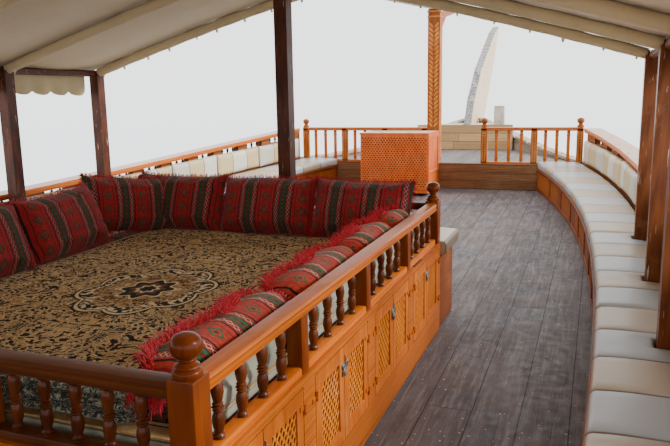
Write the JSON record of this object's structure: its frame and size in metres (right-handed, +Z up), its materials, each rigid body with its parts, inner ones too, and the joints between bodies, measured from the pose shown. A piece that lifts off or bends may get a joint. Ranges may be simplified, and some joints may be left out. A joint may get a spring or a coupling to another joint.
{
  "type": "wooden dhow excursion boat",
  "caption": "Wooden motor dhow with a raked stem, canvas awning, side benches and a raised cushioned majlis with railings and lattice doors.",
  "frame": {"origin": "on the centreline amidships, at the waterline", "axes": "+Y to the bow, +X to starboard, +Z up"},
  "size_m": [5.7198, 21.0519, 5.47],
  "materials": {
    "hull_wood": "oiled planking, white below the waterline",
    "oiled_teak": "varnished, worn pale on top edges",
    "varnished_wood": "orange-brown varnish",
    "dark_wood": "dark red-brown stain",
    "weathered_deck": "weathered bare planks",
    "worn_white_paint": "peeling white paint on bare wood",
    "canvas": "tan awning canvas",
    "cream_vinyl": "cream and beige coated cloth",
    "patterned_carpet": "tan carpet with brown leaf pattern",
    "red_weave": "red striped woven cushion cloth",
    "bronze": "cast propeller bronze"
  },
  "bodies": {
    "boat": {"hull_planking": "hull_wood", "bulwark_main_starboard": "oiled_teak", "bulwark_main_port": "oiled_teak", "cap_rail_starboard": "oiled_teak", "cap_rail_port": "oiled_teak", "bulwark_bow_starboard": "oiled_teak", "bulwark_bow_port": "oiled_teak", "bow_cap_starboard": "worn_white_paint", "bow_cap_port": "worn_white_paint", "wale_starboard": "dark_wood", "wale_port": "dark_wood", "main_deck": "weathered_deck", "foredeck": "oiled_teak", "keel_stem_and_sternpost": "hull_wood", "transom_bulwark": "oiled_teak", "bench_starboard": "varnished_wood", "bench_port": "varnished_wood", "seat_cushions_starboard": "cream_vinyl", "seat_cushions_port": "cream_vinyl", "back_cushions_starboard": "cream_vinyl", "back_cushions_port": "cream_vinyl", "awning_frame_starboard": "dark_wood", "awning_frame_port": "dark_wood", "ridge_beam": "worn_white_paint", "awning_canvas_starboard": "canvas", "awning_canvas_port": "canvas", "awning_valance_starboard": "canvas", "awning_valance_port": "canvas", "centre_post": "dark_wood", "majlis_platform": "varnished_wood", "majlis_rail_starboard": "oiled_teak", "majlis_rail_port": "oiled_teak", "majlis_rail_aft": "oiled_teak", "majlis_rail_fore": "oiled_teak", "majlis_mattress": "patterned_carpet", "cushions_fore": "red_weave", "cushions_port": "red_weave", "bolsters_starboard": "red_weave", "fore_seat": "varnished_wood", "fore_seat_cushion": "cream_vinyl", "break_rail_starboard": "varnished_wood", "break_rail_port": "varnished_wood", "perforated_cabinet": "varnished_wood", "carved_post": "varnished_wood", "engine_hatch": "oiled_teak", "helm_pedestal": "oiled_teak", "stern_seat": "varnished_wood", "stern_cushion": "cream_vinyl"},
    "rudder": {"rudder": "hull_wood"},
    "propeller": {"propeller": "bronze"},
    "ship_wheel": {"ship_wheel": "dark_wood"},
    "door_1_aft": {"door_1_aft": "varnished_wood"},
    "door_1_fore": {"door_1_fore": "varnished_wood"},
    "door_2_aft": {"door_2_aft": "varnished_wood"},
    "door_2_fore": {"door_2_fore": "varnished_wood"},
    "door_3_aft": {"door_3_aft": "varnished_wood"},
    "door_3_fore": {"door_3_fore": "varnished_wood"},
    "door_4_aft": {"door_4_aft": "varnished_wood"},
    "door_4_fore": {"door_4_fore": "varnished_wood"}
  },
  "joints": [
    {"name": "rudder_steer", "type": "hinge", "parent": "boat", "child": "rudder", "pos_m": [0, -9.75, 0], "axis": [0, -0.2696, 0.963], "range_deg": [-35, 35]},
    {"name": "propeller_spin", "type": "hinge", "parent": "boat", "child": "propeller", "pos_m": [0, -8.9, -0.57], "axis": [0, 1, 0], "continuous": true},
    {"name": "helm_turn", "type": "hinge", "parent": "boat", "child": "ship_wheel", "pos_m": [0, -7.77, 2.19051], "axis": [0, 1, 0], "range_deg": [-540, 540]},
    {"name": "door_1_aft_swing", "type": "hinge", "parent": "boat", "child": "door_1_aft", "pos_m": [1.256, -3.8025, 1.5], "axis": [0, 0, -1], "range_deg": [0, 90]},
    {"name": "door_1_fore_swing", "type": "hinge", "parent": "boat", "child": "door_1_fore", "pos_m": [1.256, -3.1575, 1.5], "axis": [0, 0, 1], "range_deg": [0, 90]},
    {"name": "door_2_aft_swing", "type": "hinge", "parent": "boat", "child": "door_2_aft", "pos_m": [1.256, -3.0425, 1.5], "axis": [0, 0, -1], "range_deg": [0, 90]},
    {"name": "door_2_fore_swing", "type": "hinge", "parent": "boat", "child": "door_2_fore", "pos_m": [1.256, -2.4075, 1.5], "axis": [0, 0, 1], "range_deg": [0, 90]},
    {"name": "door_3_aft_swing", "type": "hinge", "parent": "boat", "child": "door_3_aft", "pos_m": [1.256, -2.2925, 1.5], "axis": [0, 0, -1], "range_deg": [0, 90]},
    {"name": "door_3_fore_swing", "type": "hinge", "parent": "boat", "child": "door_3_fore", "pos_m": [1.256, -1.6675, 1.5], "axis": [0, 0, 1], "range_deg": [0, 90]},
    {"name": "door_4_aft_swing", "type": "hinge", "parent": "boat", "child": "door_4_aft", "pos_m": [1.256, -1.5525, 1.5], "axis": [0, 0, -1], "range_deg": [0, 90]},
    {"name": "door_4_fore_swing", "type": "hinge", "parent": "boat", "child": "door_4_fore", "pos_m": [1.256, -0.8975, 1.5], "axis": [0, 0, 1], "range_deg": [0, 90]}
  ],
  "couplings": [
    {"joint": "helm_turn", "follows": "rudder_steer", "ratio": 15.4}
  ]
}
